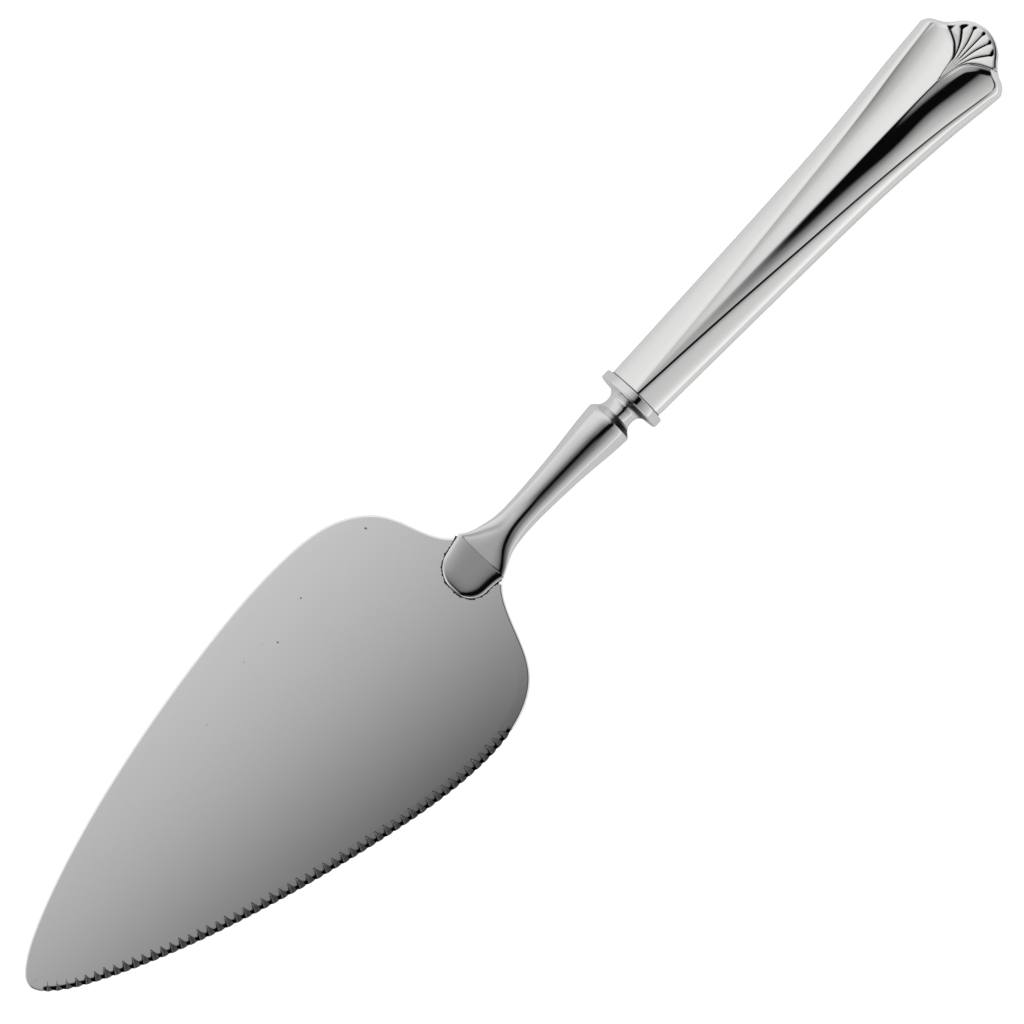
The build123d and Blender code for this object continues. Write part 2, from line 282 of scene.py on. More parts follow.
def satinSteel(name, metal, roughness, pits):
    material, tree = newMaterial(name)
    place = addNode(tree, "ShaderNodeTexCoord").outputs["Object"]
    # the attribute holds painted shade: in the blade's notches, and in the shank's groove and cove corners
    dark = addNode(tree, "ShaderNodeAttribute", {"attribute_name": "tarnishAndShade"}).outputs["Fac"]
    # a belt line is linePitch mm wide, coarser than real ones so that it shows, and lineStretch
    # times as long
    wide = steelLook["linePitch"] * mm
    along = addNode(tree, "ShaderNodeMapping", {"vector_type": "TEXTURE"}, {
        "Vector": place,
        "Rotation": (0, 0, radians(steelLook["lineTurn"])),
        "Scale": (steelLook["lineStretch"] * wide, wide, wide),
    })
    lines = addNode(tree, "ShaderNodeTexNoise", {}, {
        "Vector": along.outputs[0], "Scale": 1.0, "Detail": 2.0})
    # each pit is a small disc, dark inside about its radius and gone at about twice that; lumps of
    # 0.3 mm, which are a half on average, make it uneven
    warp = addNode(tree, "ShaderNodeTexNoise", {}, {"Vector": place, "Scale": 3000.0})
    plan = addNode(tree, "ShaderNodeVectorMath", {"operation": "MULTIPLY"}, {0: place, 1: (1, 1, 0)})
    for x, y, radius in pits:
        spot = addNode(tree, "ShaderNodeVectorMath", {"operation": "DISTANCE"}, {
            0: plan.outputs[0], 1: (x * mm, y * mm, 0)})
        ragged = addNode(tree, "ShaderNodeMath", {"operation": "MULTIPLY"}, {
            0: spot.outputs["Value"], 1: warp.outputs[0]})
        inside = addNode(tree, "ShaderNodeMapRange", {}, {
            0: ragged.outputs[0], 1: 0.4 * radius * mm, 2: radius * mm, 3: steelLook["pitTone"], 4: 0.0})
        darker = addNode(tree, "ShaderNodeMath", {"operation": "MAXIMUM"}, {0: dark, 1: inside.outputs[0]})
        dark = darker.outputs[0]
    clean = addNode(tree, "ShaderNodeMapRange", {}, {
        0: lines.outputs[0], 3: roughness[0], 4: roughness[1]})
    rough = addNode(tree, "ShaderNodeMapRange", {}, {
        0: dark, 3: clean.outputs[0], 4: steelLook["darkRough"]})
    colour = addNode(tree, "ShaderNodeMix", {"data_type": "RGBA"}, {
        0: dark, 6: toLinear(metal), 7: toLinear(steelLook["dark"])})
    bump = addNode(tree, "ShaderNodeBump", {}, {
        "Strength": 0.5, "Distance": steelLook["lineDepth"], "Height": lines.outputs[0]})
    shader = addNode(tree, "ShaderNodeBsdfPrincipled", {}, {
        "Base Color": colour.outputs[2],
        "Metallic": 1.0,
        "Roughness": rough.outputs[0],
        "Normal": bump.outputs[0],
    })
    addNode(tree, "ShaderNodeOutputMaterial", {}, {0: shader.outputs[0]})
    return material


# Brazing metal left round the tongue, oxidised: a dull, dark, lumpy line
brazeLook = {"dark": "#161615", "light": "#4A4947", "rough": 0.42}


def dullBraze():
    material, tree = newMaterial("oxidisedBraze")
    place = addNode(tree, "ShaderNodeTexCoord").outputs["Object"]
    # lumps of about 0.4 mm
    lumps = addNode(tree, "ShaderNodeTexNoise", {}, {
        "Vector": place, "Scale": 2500.0, "Detail": 3.0, "Roughness": 0.6})
    colour = addNode(tree, "ShaderNodeMix", {"data_type": "RGBA"}, {
        0: lumps.outputs[0], 6: toLinear(brazeLook["dark"]), 7: toLinear(brazeLook["light"])})
    bump = addNode(tree, "ShaderNodeBump", {}, {
        "Strength": 0.6, "Distance": 0.0001, "Height": lumps.outputs[0]})
    shader = addNode(tree, "ShaderNodeBsdfPrincipled", {}, {
        "Base Color": colour.outputs[2],
        "Metallic": 0.85,
        "Roughness": brazeLook["rough"],
        "Normal": bump.outputs[0],
    })
    addNode(tree, "ShaderNodeOutputMaterial", {}, {0: shader.outputs[0]})
    return material


# Resin cement cast round the tang: matt and grainy, inside the handle
cementLook = {"dark": "#6B5A46", "light": "#8F7C63", "rough": 0.85}


def castCement():
    material, tree = newMaterial("castResinCement")
    place = addNode(tree, "ShaderNodeTexCoord").outputs["Object"]
    # sand grains of about 0.55 mm
    grain = addNode(tree, "ShaderNodeTexNoise", {}, {
        "Vector": place, "Scale": 1800.0, "Detail": 5.0, "Roughness": 0.65})
    colour = addNode(tree, "ShaderNodeMix", {"data_type": "RGBA"}, {
        0: grain.outputs[0], 6: toLinear(cementLook["dark"]), 7: toLinear(cementLook["light"])})
    bump = addNode(tree, "ShaderNodeBump", {}, {
        "Strength": 0.4, "Distance": 0.0001, "Height": grain.outputs[0]})
    shader = addNode(tree, "ShaderNodeBsdfPrincipled", {}, {
        "Base Color": colour.outputs[2], "Roughness": cementLook["rough"], "Normal": bump.outputs[0]})
    addNode(tree, "ShaderNodeOutputMaterial", {}, {0: shader.outputs[0]})
    return material


silver = buffedSilver()
bladeSteel = satinSteel(
    "satinStainlessSheet", steelLook["blade"], steelLook["bladeRough"], steelLook["pits"])
shankSteel = satinSteel("polishedStainlessForging", steelLook["shank"], steelLook["shankRough"], ())
braze = dullBraze()
cement = castCement()
print("materials made")


# Handle: two struck shells

handle = {
    # share of the length: half width, crease's half width, ridge's height, and the flute's
    # slope in degrees at the ridge and at the crease
    "stations": (
        (0.01015, 6.03, 0.4, 5.35, 2.0, 1.5),
        (0.1827, 6.5, 1.55, 5.2, 3.5, 2.0),
        (0.4668, 7.33, 3.9, 5.05, 9.3, -2.0),
        (0.623, 8.0, 5.3, 4.95, 11.0, -2.6),
        (0.7793, 9.25, 7.05, 4.9, 17.4, -7.2),
        (0.9234, 10.62, 9.0, 4.85, 20.6, -5.2),
        (1.0249, 11.5, 10.1, 4.85, 22.0, -4.5),
    ),
    "start": 1.14,
    # painted shade: the groove by the collar is painted dark up to the first reach past the start, clean
    # from the second
    "startShade": (0.05, 0.2),
    # where the flutes go from a late bend to an even one, and how late the late one is
    "evenFrom": 66.0,
    "evenTo": 80.0,
    "lateBend": 1.35,
    "ridgeRound": 0.2,
    # narrow chamfer along the crease, inside it
    "chamfer": 0.2,
    "chamferSlope": 0.166,
    # border: the slope of its plain facet at some reaches, its bend by the crease, its steep edge
    # and the round at the seam
    "facets": ((0.0, 0.59), (20.0, 0.6), (60.0, 0.64), (80.0, 0.74), (99.0, 0.8)),
    "creaseBend": 0.5,
    "creasePower": 1.6,
    "edgeSlope": 0.9,
    "edgeWidth": 0.95,
    "seamRound": 0.3,
    "wall": 0.55,
    # the hollow's top below the outer face, in walls
    "hollowWalls": 2.1,
    # reach where the end's outline starts to count, and how far off it is before that
    "endFrom": 76.0,
    "farOff": 99.0,
    # length of the end's rows, which follow its outline
    "endZone": 15.0,
    "endLean": 0.3,
    "leanFrom": 78.0,
    "leanTo": 92.0,
    "endNarrow": 0.9,
    # end outline from the corner to the tip
    "corner": (91.0, 10.62),
    "ogeeHigh": (93.2, 8.6),
    "fanEnd": (95.6, 5.57),
    "fanRadius": 6.94,
    "tipPoints": 60,
    "sidePoints": 30,
    # the end's rows are looked for between these two reaches
    "searchFrom": 80.0,
    "searchTo": 99.5,
    "rows": 44,
    "rowStep": 0.075,
    "borderColumns": 34,
    "plainColumns": 18,
    "fanColumns": 88,
    "fanShare": 0.72,
    "rungs": 15,
}

# Fan: groove lines on one side as reach, side; then how the lobes and the grooves are shaped
fan = {
    "outer": (
        (84.7, 0.0), (86.7, 0.43), (89.0, 0.9), (90.3, 1.45), (91.2, 2.2), (92.3, 3.6), (93.1, 5.2),
        (93.5, 6.1),
    ),
    "second": ((89.9, 0.85), (90.7, 1.15), (92.1, 1.72), (93.6, 2.65), (95.0, 3.75)),
    "third": ((90.2, 0.42), (91.2, 0.6), (93.5, 1.02), (95.1, 1.5), (96.45, 2.0)),
    # the inner grooves stay within these shares of the outer one's side
    "secondShare": 0.74,
    "thirdShare": 0.4,
    # past its last point the outer groove's line goes to the corner, and the fan's side beyond it;
    # the rectangle that all of it lies in
    "corner": (95.0, 8.2),
    "beyond": (99.0, 8.6),
    "areaFrom": 82.0,
    "areaSide": 8.2,
    # reaches where lobes and grooves start, where the heads widen, and how near the edge the pits are
    "root": (88.6, 90.2),
    "head": (88.5, 95.5),
    "headTurn": 0.35,
    "pit": (2.0, 1.25),
    # a groove's half width, and what it gains at its head, in its pit and, if second, on the left
    "grooveWidth": (0.06, 0.08, 0.24, 0.11),
    # the outer groove's half width, what it gains from reach to reach, and what more on the left
    "outerWidth": (0.07, 0.12, 0.3),
    "outerHead": (88.0, 91.5),
    # share of the depth everywhere, and what it gains at the head and in the pit
    "depthShares": (0.45, 0.55, 0.5),
    "crest": 4.66,
    "lobeTilt": 0.13,
    "lobeRound": 0.075,
    "grooveDepth": 0.42,
    # rim: height, width, round edge, how much and how far it falls to the edge, step to the lobes
    "rimTop": 4.3,
    "rimWidth": 1.0,
    "rimRound": 0.45,
    "rimFall": 0.5,
    "rimFallWidth": 0.4,
    "rimStep": 0.12,
    # lip beside the fan: height, distance from the groove, width, reach where it is whole
    "lipRise": 0.1,
    "lipPlace": 0.27,
    "lipWidth": 0.13,
    "lipWhole": 88.0,
    "panelRise": 0.26,
    "panelReach": 1.35,
    "rampWidth": 1.6,
    "rampSlope": 0.19,
    # reaches where panels and ramp rise, and how near the edge they end
    "swell": (84.5, 91.5),
    "swellEdge": (0.6, 1.6),
}


def arcPoints(start, end, middle, count):
    # points of the circle arc from start to end about middle
    first = np.arctan2(start[1] - middle[1], start[0] - middle[0])
    last = np.arctan2(end[1] - middle[1], end[0] - middle[0])
    last = first + (last - first + np.pi) % tau - np.pi
    a = np.linspace(first, last, count)
    radius = np.hypot(start[0] - middle[0], start[1] - middle[1])
    return np.stack([middle[0] + radius * np.cos(a), middle[1] + radius * np.sin(a)], axis=-1)


def tangentMiddle(start, end, way):
    # middle of the circle through start and end that leaves start along way
    start, end, way = (np.asarray(v, float) for v in (start, end, way))
    normal = np.array([-way[1], way[0]])
    chord = end - start
    return start + normal * (chord @ chord) / (2 * (chord @ normal))


def endOutline():
    # three arcs that meet tangentially, from the handle's tip out to its corner
    tip = np.array([placing["handleLength"], 0.0])
    shoulder = np.array(handle["fanEnd"])
    chord = shoulder - tip
    half = np.hypot(*chord) / 2
    side = np.array([-chord[1], chord[0]]) / (2 * half)
    middle = (tip + shoulder) / 2 + side * (handle["fanRadius"]**2 - half**2)**0.5
    first = arcPoints(tip, shoulder, middle, handle["tipPoints"])
    high = np.array(handle["ogeeHigh"])
    way = np.array([-(shoulder - middle)[1], (shoulder - middle)[0]])
    ogeeMiddle = tangentMiddle(shoulder, high, way / np.hypot(*way))
    second = arcPoints(shoulder, high, ogeeMiddle, handle["sidePoints"])
    radius = high - ogeeMiddle
    way = np.array([radius[1], -radius[0]])
    way = way / np.hypot(*way) * np.sign(way @ (second[-1] - second[-2]))
    lastMiddle = tangentMiddle(high, handle["corner"], way)
    third = arcPoints(high, handle["corner"], lastMiddle, handle["sidePoints"])
    return np.vstack([first, second[1:], third[1:]])


def runningSum(values, step):
    # the area under a curve from its start to each of its points
    return np.r_[0, np.cumsum((values[1:] + values[:-1]) / 2)] * step


outline = endOutline()
stations = np.array(handle["stations"])
facets = np.array(handle["facets"]).T

# How the flute's slope goes from ridge to crease: 3s^2 - 2s^3 of s = q^lateBend
shares = np.linspace(0, 1, 401)
lateSum = runningSum(smoothStep(shares**handle["lateBend"], 0, 1), shares[1])
# How the border's slope starts at the crease: 1 - exp(-(s / creaseBend)^creasePower)
runs = np.linspace(0, 8, 801)
startSum = runningSum(1 - np.exp(-(runs / handle["creaseBend"])**handle["creasePower"]), runs[1])


def section(x):
    # half width, crease, ridge and the two slopes at reach x
    return np.moveaxis(through(stations[:, 0], stations[:, 1:], x / placing["handleLength"]), -1, 0)


def fluteHeight(x, y, form):
    # ridge - e * (a*q - (a - b) * sum(q)): a and b are the slopes at ridge and crease, q = y/e;
    # the ridge is rounded by sqrt(y^2 + r^2) - r, and the chamfer falls straight to the crease
    w, e, top, ridge, crease = form
    side = np.minimum(np.abs(y), e - handle["chamfer"])
    q = (np.sqrt(side**2 + handle["ridgeRound"]**2) - handle["ridgeRound"]) / e
    a, b = np.tan(np.radians(ridge)), np.tan(np.radians(crease))
    even = smoothStep(x, handle["evenFrom"], handle["evenTo"])
    total = even * q * q / 2 + (1 - even) * np.interp(q, shares, lateSum)
    beyond = np.clip(np.abs(y) - e + handle["chamfer"], 0, handle["chamfer"])
    return top - e * (a * q - (a - b) * total) - handle["chamferSlope"] * beyond


def borderHeight(x, s, width, shoulder):
    # from the shoulder down by the chamfer's slope, the facet's, which starts softly, and the
    # edge's, exp(-d/edgeWidth) of the distance d to the seam; a quarter round ends it there
    d = np.clip(width - s, 0, None)
    edge = handle["edgeWidth"] * (np.exp(-d / handle["edgeWidth"]) - np.exp(-width / handle["edgeWidth"]))
    facet = np.interp(x, *facets) - handle["chamferSlope"]
    drop = handle["chamferSlope"] * s + facet * np.interp(s, runs, startSum) + handle["edgeSlope"] * edge
    q = np.clip(1 - d / handle["seamRound"], 0, 1)
    return (shoulder - drop) * np.sqrt(1 - q * q)


def fanLine(name, x):
    # side of a groove line at reach x, and the cosine of its turn from the handle's length
    knots = np.array(fan[name])
    at = np.clip(x, knots[0, 0], knots[-1, 0] - 0.01)
    side = through(knots[:, 0], knots[:, 1], at)
    slope = (through(knots[:, 0], knots[:, 1], at + 0.01) - side) / 0.01
    return side, 1 / np.hypot(1, slope)


def fanHeight(x, y, inset):
    # lobes between the groove lines, each a low arch that leans to one side, less the grooves:
    # 1 - (r/w)^2 across, wider in the pits at their heads
    side = np.abs(y)
    outer, outerTurn = fanLine("outer", x)
    second, secondTurn = fanLine("second", x)
    third, thirdTurn = fanLine("third", x)
    lines = [
        0 * x,
        np.minimum(third, fan["thirdShare"] * outer),
        np.minimum(second, fan["secondShare"] * outer),
        outer,
    ]
    turns = [1, thirdTurn, secondTurn, outerTurn]
    left = smoothStep(y, -1.0, 1.0)
    head = smoothStep(x + fan["headTurn"] * side, *fan["head"])
    pit = smoothStep(inset, *fan["pit"])
    rootStart = smoothStep(x, *fan["root"])
    plainWidth, headGain, pitGain, leftGain = fan["grooveWidth"]
    outerPlain, outerGain, outerLeft = fan["outerWidth"]
    cut = np.zeros(x.shape)
    for k, (line, turn) in enumerate(zip(lines, turns)):
        width = plainWidth + headGain * head + pitGain * pit
        if k == 2:
            width = width + leftGain * left * head
        if k == 3:
            width = outerPlain + smoothStep(x, *fan["outerHead"]) * (outerGain + outerLeft * left)
        strength = 1 if k == 3 else rootStart
        cut = np.maximum(cut, strength * np.clip(1 - (np.abs(side - line) * turn / width)**2, 0, 1))
    # place in the lobe, 0 at its right groove and 1 at its left
    edges = np.array([-lines[3], -lines[2], -lines[1], lines[0], lines[1], lines[2], lines[3]])
    lobe = np.clip((y[None] > edges).sum(axis=0) - 1, 0, 5)
    low = np.take_along_axis(edges, lobe[None], axis=0)[0]
    high = np.take_along_axis(edges, lobe[None] + 1, axis=0)[0]
    wide = np.maximum(high - low, 0.05)
    f = np.clip((y - low) / wide, 0, 1)
    arch = fan["lobeRound"] * 4 * f * (1 - f) * np.minimum(wide, 1) - fan["lobeTilt"] * (f - 0.5) * wide
    plainDepth, headDepth, pitDepth = fan["depthShares"]
    depth = fan["grooveDepth"] * (plainDepth + headDepth * head + pitDepth * pit)
    return fan["crest"] + arch * rootStart - depth * cut, smoothStep(cut, 0.05, 0.5)


def shellHeight(x, y):
    # flute inside the crease, border outside it, the fan and its rim at the end
    form = section(x)
    w, e = form[:2]
    side = np.clip(w - np.abs(y), 0, None)
    late = x > handle["endFrom"]
    ends = np.full(x.shape, handle["farOff"])
    ends[late] = toLine(x[late], np.abs(y[late]), outline)
    # both distances to the edge in one, so that the panels' corners are round: ab / (a^4 + b^4)^(1/4)
    inset = side * ends / (side**4 + ends**4)**0.25
    # the border's end is narrower beside the fan's left
    narrow = ends * (1 + handle["endNarrow"] * smoothStep(y, 0, 3))
    reachIn = side * narrow / (side**4 + narrow**4)**0.25
    shoulder = fluteHeight(x, y, form)
    width = w - e
    s = np.clip(width - reachIn, 0, None)
    base = np.where(s > 0, borderHeight(x, s, width, shoulder), shoulder)
    # painted shade in the groove by the collar
    shadeFor, cleanFrom = handle["startShade"]
    tarnishAndShade = smoothStep(x, handle["start"] + cleanFrom, handle["start"] + shadeFor)
    area = (x > fan["areaFrom"]) & (np.abs(y) < fan["areaSide"])
    px, py, near = x[area], np.abs(y[area]), inset[area]
    knots = np.array(fan["outer"])
    reach = np.linspace(knots[0, 0], knots[-1, 0], 60)
    rim = np.stack([reach, through(knots[:, 0], knots[:, 1], reach)], axis=-1)
    limit = np.interp(px, *np.vstack([rim, fan["beyond"]]).T)
    inside = np.where(py < limit, 1.0, -1.0) * toLine(px, py, np.vstack([rim, fan["corner"]]))
    inside = np.where(px < knots[0, 0], -np.abs(inside), inside)
    raised, dark = fanHeight(px, y[area], near)
    grown = smoothStep(px, knots[0, 0], fan["lipWhole"])
    out = np.clip(-inside, 0, None)
    # the panels rise a little towards the fan and end in a thin lip
    swell = fan["panelRise"] * np.exp(-out / fan["panelReach"])
    # on the serrated side that is a straight ramp with a soft foot: t - 1/4 (1 - exp(-4t))
    t = np.clip(fan["rampWidth"] - out, 0, None)
    ramp = fan["rampSlope"] * (t - 0.25 * (1 - np.exp(-4 * t)))
    swell = np.where(y[area] < 0, ramp, swell) * smoothStep(px, *fan["swell"])
    lip = fan["lipRise"] * np.exp(-((out - fan["lipPlace"]) / fan["lipWidth"])**2) * grown
    plain = base[area] + (swell + lip) * smoothStep(near, *fan["swellEdge"])
    share = smoothStep(inside, -0.1, 0.05)
    q = np.clip(1 - near / fan["rimRound"], 0, 1)
    rimTop = fan["rimTop"] * np.sqrt(1 - q * q) - fan["rimFall"] * np.exp(-near / fan["rimFallWidth"])
    rimTop = np.clip(rimTop, 0, None)
    wall = smoothStep(near, fan["rimWidth"], fan["rimWidth"] + fan["rimStep"])
    body = rimTop * (1 - wall) + raised * wall
    base[area] = plain * (1 - share) + body * share
    tarnishAndShade[area] = dark * smoothStep(inside, -0.12, 0.05) * smoothStep(near, 0.9, 1.1)
    return base, tarnishAndShade


def lean(x):
    # how far the end leans to the serrated side: endLean * (3s^2 - 2s^3), s from leanFrom to leanTo
    return handle["endLean"] * smoothStep(x, handle["leanFrom"], handle["leanTo"])


def shellGrid():
    # columns keep their share of the border or the flute; each row is a distance back from the end
    border = (1 - np.cos(np.linspace(0, np.pi, handle["borderColumns"] + 1)[:-1])) / 2
    shareAt = handle["fanShare"]
    plainPart = np.linspace(1, shareAt, handle["plainColumns"] + 1)
    flute = np.r_[plainPart[:-1], np.linspace(shareAt, 0, handle["fanColumns"] + 1)]
    chamferSteps = np.array([0.0, 0.34, 0.67, 1.0, 1.25])

    def across(x):
        # x holds one reach for each column
        w, e = section(x)[:2]
        n, m = len(border), len(chamferSteps)
        out = np.empty(len(x))
        out[:n] = w[:n] - (w[:n] - e[:n]) * border
        out[n:n + m] = e[n:n + m] - handle["chamfer"] * chamferSteps
        out[n + m:] = (e[n + m:] - 1.5 * handle["chamfer"]) * flute
        return out

    count = len(border) + len(chamferSteps) + len(flute)
    low, high = np.full(count, handle["searchFrom"]), np.full(count, handle["searchTo"])
    order = np.argsort(outline[:, 1])
    # each column's last reach lies on the outline: halve what it may be until nothing is left
    for _ in range(40):
        half = (low + high) / 2
        far = np.interp(across(half), outline[order, 1], outline[order, 0]) > half
        low, high = np.where(far, half, low), np.where(far, high, half)
    last = (low + high) / 2
    last[-1] = placing["handleLength"]
    wallSteps = handle["seamRound"] * (1 - np.cos(np.linspace(0, np.pi / 2, 8)))
    back = np.r_[wallSteps, np.arange(wallSteps[-1] + 0.06, handle["endZone"], handle["rowStep"])]
    # shares of the way from the collar's groove to the end zone, close at first
    front = np.r_[0, 0.001, 0.0022, 0.0035, 0.006, np.linspace(0.015, 1, handle["rows"])[:-1]][:, None]
    x = np.vstack([
        handle["start"] + front * (last - back[-1] - handle["start"]),
        (last[None, :] - back[:, None])[::-1],
    ])
    y = np.stack([across(row) for row in x])
    x = np.hstack([x, x[:, -2::-1]])
    y = np.hstack([y, -y[:, -2::-1]])
    z, tarnishAndShade = shellHeight(x, y)
    z[:, 0] = z[:, -1] = 0
    z[-1] = 0
    return np.stack([x, y, z], axis=-1), tarnishAndShade


def shellMesh(up):
    outer, tarnishAndShade = shellGrid()
    rows, columns = outer.shape[:2]
    half = columns // 2
    ids = np.arange(rows * columns).reshape(rows, columns)
    faces = gridFaces(ids).tolist()
    # rungs join the rim's two sides under the shell, hollowWalls walls below its outer face
    leftRim = np.r_[ids[:, 0], ids[-1, 1:half]]
    rightRim = np.r_[ids[:, -1], ids[-1, -2:half:-1]]
    rim = outer.reshape(-1, 3)[leftRim]
    spread = np.linspace(1, -1, handle["rungs"])
    wide = rim[:, 1] * (1 - handle["wall"] / np.maximum(rim[:, 1], 2 * handle["wall"]))
    ry = wide[:, None] * spread
    rx = np.minimum(rim[:, :1], placing["handleLength"] - handle["wall"]) + 0 * ry
    under, _ = shellHeight(rx, ry)
    limit = rim[:, 1:2] * (1 - spread**6)
    rz = np.clip(np.minimum(under - handle["hollowWalls"] * handle["wall"], limit), 0, None)
    rz[:, 0] = rz[:, -1] = 0
    inner = np.stack([rx, ry, rz], axis=-1)
    innerIds = rows * columns + np.arange(rz.size).reshape(rz.shape)
    ladder = np.hstack([leftRim[:, None], innerIds, rightRim[:, None]])
    faces += gridFaces(ladder)[:, ::-1].tolist()
    faces.append(ladder[-1].tolist() + [int(ids[-1, half])])
    faces.append(ids[0, ::-1].tolist() + innerIds[0].tolist())
    points = np.vstack([outer.reshape(-1, 3), inner.reshape(-1, 3)])
    points[:, 1] -= lean(points[:, 0])
    points[:, 2] *= up
    tone = np.r_[tarnishAndShade.ravel(), np.zeros(rz.size)]
    return points, faces, tone


for name, up, slot, node in (
    ("silverShellUpper", 1, "silver_front", "handle_front"),
    ("silverShellLower", -1, "silver_back", "handle_back"),
):
    points, faces, tone = shellMesh(up)
    makePiece(name, points, faces, handleOrigin, handleAxes, silver, [node], {"tarnishAndShade": tone})
print("handle made")


# Blade: one sheet, crowned above and flat below, with notches pressed along one side

blade = {
    "halfWidth": 27.5,
    # outline: share of the length, share of the half width; far is the plain side, near the
    # serrated one
    "side": ((0.0206, 0.133), (0.07, 0.265), (0.195, 0.491), (0.388, 0.74), (0.582, 0.915), (0.775, 1.0)),
    "farHeel": ((0.872, 0.94), (0.933, 0.747), (0.962, 0.491)),
    "nearHeel": ((0.872, 0.937), (0.933, 0.767), (0.962, 0.516)),
    # tail: half width at its end and what it gains by the share tailRoot of the length
    "farTail": (7.5, 1.8),
    "nearTail": (4.5, 2.8),
    "tailRoot": 0.984,
    "tipThickness": 0.95,
    "heelThickness": 1.7,
    "crownRadius": 360.0,
    "plainRound": 0.3,
    "heelRound": 0.42,
    "roundZone": (60, 108),
    "cutRound": 0.07,
    "thinnest": 0.05,
    # bevel under the edge: width, height
    "foot": (0.12, 0.06),
    # notches, by the distance along the edge: pitch, the first one's place, count
    "pitch": 1.965,
    "first": 3.85,
    "count": 53,
    "toothedFrom": (2.6, 3.2),
    "toothedTo": (108.5, 107.5),
    # the tip's notches are smaller, and all vary a little
    "grownAt": (3, 16),
    "leastSize": 0.55,
    "sizeWander": 0.05,
    "reach": 2.1,
    "depth": 0.36,
    # how much, and how far in, the pressed edge draws in between notches
    "draw": 0.22,
    "drawReach": 0.9,
    # an arch's two sides: distance from the edge, distance from its middle
    "archTip": ((0, 0.75), (0.46, 0.55), (2.1, 0.0)),
    "archHeel": ((0, 1.0), (0.92, 0.84), (1.45, 0.38), (2.1, 0.0)),
    # grey of the painted shade inside an arch
    "archShade": 0.62,
    "bandStep": 0.09,
    "bandWidth": 2.4,
    "middleColumns": 14,
    "underColumns": 8,
    "rows": 1400,
}


def bladeSide(way, count):
    # one side of the outline by the distance along it, from the tip to the tail, and the way inward
    length = placing["bladeLength"]
    heelShares = blade["farHeel"] if way > 0 else blade["nearHeel"]
    tail = blade["farTail"] if way > 0 else blade["nearTail"]
    knots = [(0, 0)] + [(u * length, v * blade["halfWidth"]) for u, v in blade["side"] + heelShares]
    knots += [(blade["tailRoot"] * length, sum(tail)), (length, tail[0])]
    knots = np.array(knots) * (1, way)
    run = runLength(knots)
    fine = through(run, knots, np.linspace(0, run[-1], 6000), (0, way), (0.7, -0.7 * way))
    at, points, right = evenPoints(fine, count)
    return at, points, right * way


def bladeTop(u, v):
    # crown: rises along the length, falls to the sides on a radius
    rise = (blade["heelThickness"] - blade["tipThickness"]) * u / placing["bladeLength"]
    return blade["tipThickness"] + rise + (blade["crownRadius"]**2 - v**2)**0.5 - blade["crownRadius"]


def roundDrop(d, radius):
    # quarter round at the edge: r - sqrt(r^2 - (r - d)^2)
    q = np.clip(radius - d, 0, radius)
    return radius - np.sqrt(np.maximum(radius**2 - q**2, 0))


def notches(s, d):
    # at s along the edge and d in from it, pointed arches with their apex at reach: how deep,
    # 1 - q^2 for the share q of the way from the middle to the arch's side, and how much painted
    # shade they get: grey inside an arch, black on its walls, darker on the tip side, and black
    # on the lands between two arches
    number = np.clip(np.round((s - blade["first"]) / blade["pitch"]), 0, blade["count"] - 1)
    deepest, darkest = np.zeros(s.shape), np.zeros(s.shape)
    nearest = np.full(s.shape, 9.0)
    for step in (-1, 0, 1):
        k = number + step
        centre = blade["first"] + k * blade["pitch"]
        grown = smoothStep(centre, *blade["grownAt"])
        size = blade["leastSize"] + (1 - blade["leastSize"]) * grown
        size = size * (1 + blade["sizeWander"] * np.sin(k * 2.4))
        away = s - centre
        tip, heelward = np.array(blade["archTip"]).T, np.array(blade["archHeel"]).T
        side = np.where(away < 0, np.interp(d / size, *tip), np.interp(d / size, *heelward))
        side = side * (0.75 + 0.25 * size)
        q = np.abs(away) / np.maximum(side, 0.02)
        known = (k >= 0) & (k < blade["count"])
        q = np.where(known, q, 9)
        fade = np.sqrt(np.clip(1 - d / (blade["reach"] * size), 0, 1))
        deepest = np.maximum(deepest, np.clip(1 - q * q, 0, 1) * fade)
        wall = smoothStep(q, 0.25, 0.55) * smoothStep(q, 1.35, 1.1) * np.where(away < 0, 1.0, 0.85)
        darkest = np.maximum(darkest, np.where(known, wall, 0))
        nearest = np.minimum(nearest, q)
    land = smoothStep(nearest, 0.8, 1.0) * smoothStep(d, 1.2, 0.9) * (nearest < 8)
    inside = smoothStep(deepest, 0, 0.1) * (blade["archShade"] - 0.12 * smoothStep(d, 0.35, 0.1))
    walls = darkest * smoothStep(d, blade["reach"], blade["reach"] - 0.3)
    return deepest, np.maximum(np.maximum(inside, land), walls)


